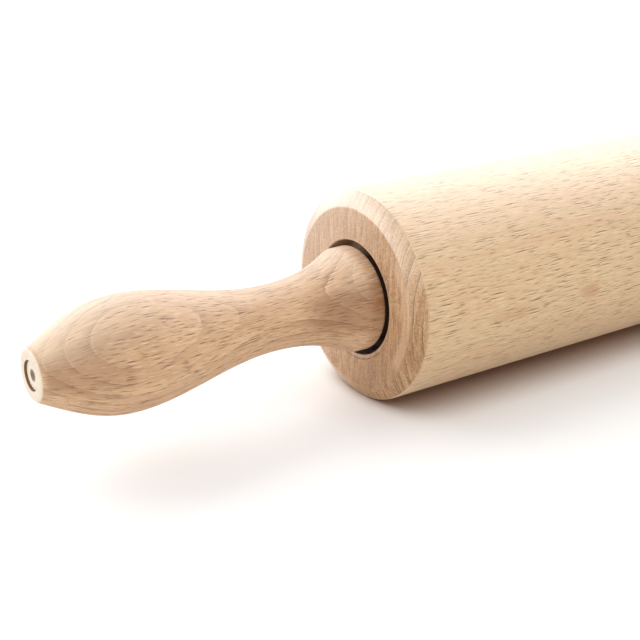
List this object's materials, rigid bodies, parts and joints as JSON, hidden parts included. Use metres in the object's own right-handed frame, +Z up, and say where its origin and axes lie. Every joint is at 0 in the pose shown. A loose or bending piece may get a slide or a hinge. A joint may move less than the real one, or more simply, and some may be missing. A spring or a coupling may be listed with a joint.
{
  "type": "rolling pin",
  "caption": "Beech rolling pin: a cylindrical barrel with chamfered rims that spins in ball bearings on a steel axle, with turned handles whose tenons reach into recesses in its ends.",
  "frame": {"origin": "under the middle of the barrel, on the surface that the pin rests on", "axes": "+X along the axle towards the right handle, +Z up"},
  "size_m": [0.4394, 0.06, 0.0599],
  "materials": {
    "barrel_beech": "fine sanded, unvarnished",
    "handle_beech": "fine sanded, unvarnished",
    "plug_beech": "end grain, turned",
    "axle_steel": "ground",
    "race_steel": "fine ground",
    "ball_steel": "polished",
    "shield_steel": "stamped sheet",
    "cage_brass": "machined"
  },
  "bodies": {
    "handles": {"axle": "axle_steel", "left_handle": "handle_beech", "right_handle": "handle_beech", "left_end_plug": "plug_beech", "right_end_plug": "plug_beech", "left_spacer": "axle_steel", "right_spacer": "axle_steel", "left_bearing_inner_race": "race_steel", "right_bearing_inner_race": "race_steel"},
    "barrel": {"barrel": "barrel_beech", "left_bearing_outer_race": "race_steel", "right_bearing_outer_race": "race_steel", "left_bearing_outer_shield": "shield_steel", "left_bearing_inner_shield": "shield_steel", "right_bearing_outer_shield": "shield_steel", "right_bearing_inner_shield": "shield_steel"},
    "left_ball_set": {"left_bearing_cage": "cage_brass", "left_bearing_ball_1": "ball_steel", "left_bearing_ball_2": "ball_steel", "left_bearing_ball_3": "ball_steel", "left_bearing_ball_4": "ball_steel", "left_bearing_ball_5": "ball_steel", "left_bearing_ball_6": "ball_steel", "left_bearing_ball_7": "ball_steel"},
    "right_ball_set": {"right_bearing_cage": "cage_brass", "right_bearing_ball_1": "ball_steel", "right_bearing_ball_2": "ball_steel", "right_bearing_ball_3": "ball_steel", "right_bearing_ball_4": "ball_steel", "right_bearing_ball_5": "ball_steel", "right_bearing_ball_6": "ball_steel", "right_bearing_ball_7": "ball_steel"}
  },
  "joints": [
    {"name": "barrel_spin", "type": "hinge", "parent": "handles", "child": "barrel", "pos_m": [0, 0, 0.02996], "axis": [1, 0, 0], "continuous": true},
    {"name": "left_ball_orbit", "type": "hinge", "parent": "handles", "child": "left_ball_set", "pos_m": [-0.1135, 0, 0.02996], "axis": [1, 0, 0], "continuous": true},
    {"name": "right_ball_orbit", "type": "hinge", "parent": "handles", "child": "right_ball_set", "pos_m": [0.1135, 0, 0.02996], "axis": [1, 0, 0], "continuous": true}
  ],
  "couplings": [
    {"joint": "left_ball_orbit", "follows": "barrel_spin", "ratio": 0.63233},
    {"joint": "right_ball_orbit", "follows": "barrel_spin", "ratio": 0.63233}
  ]
}
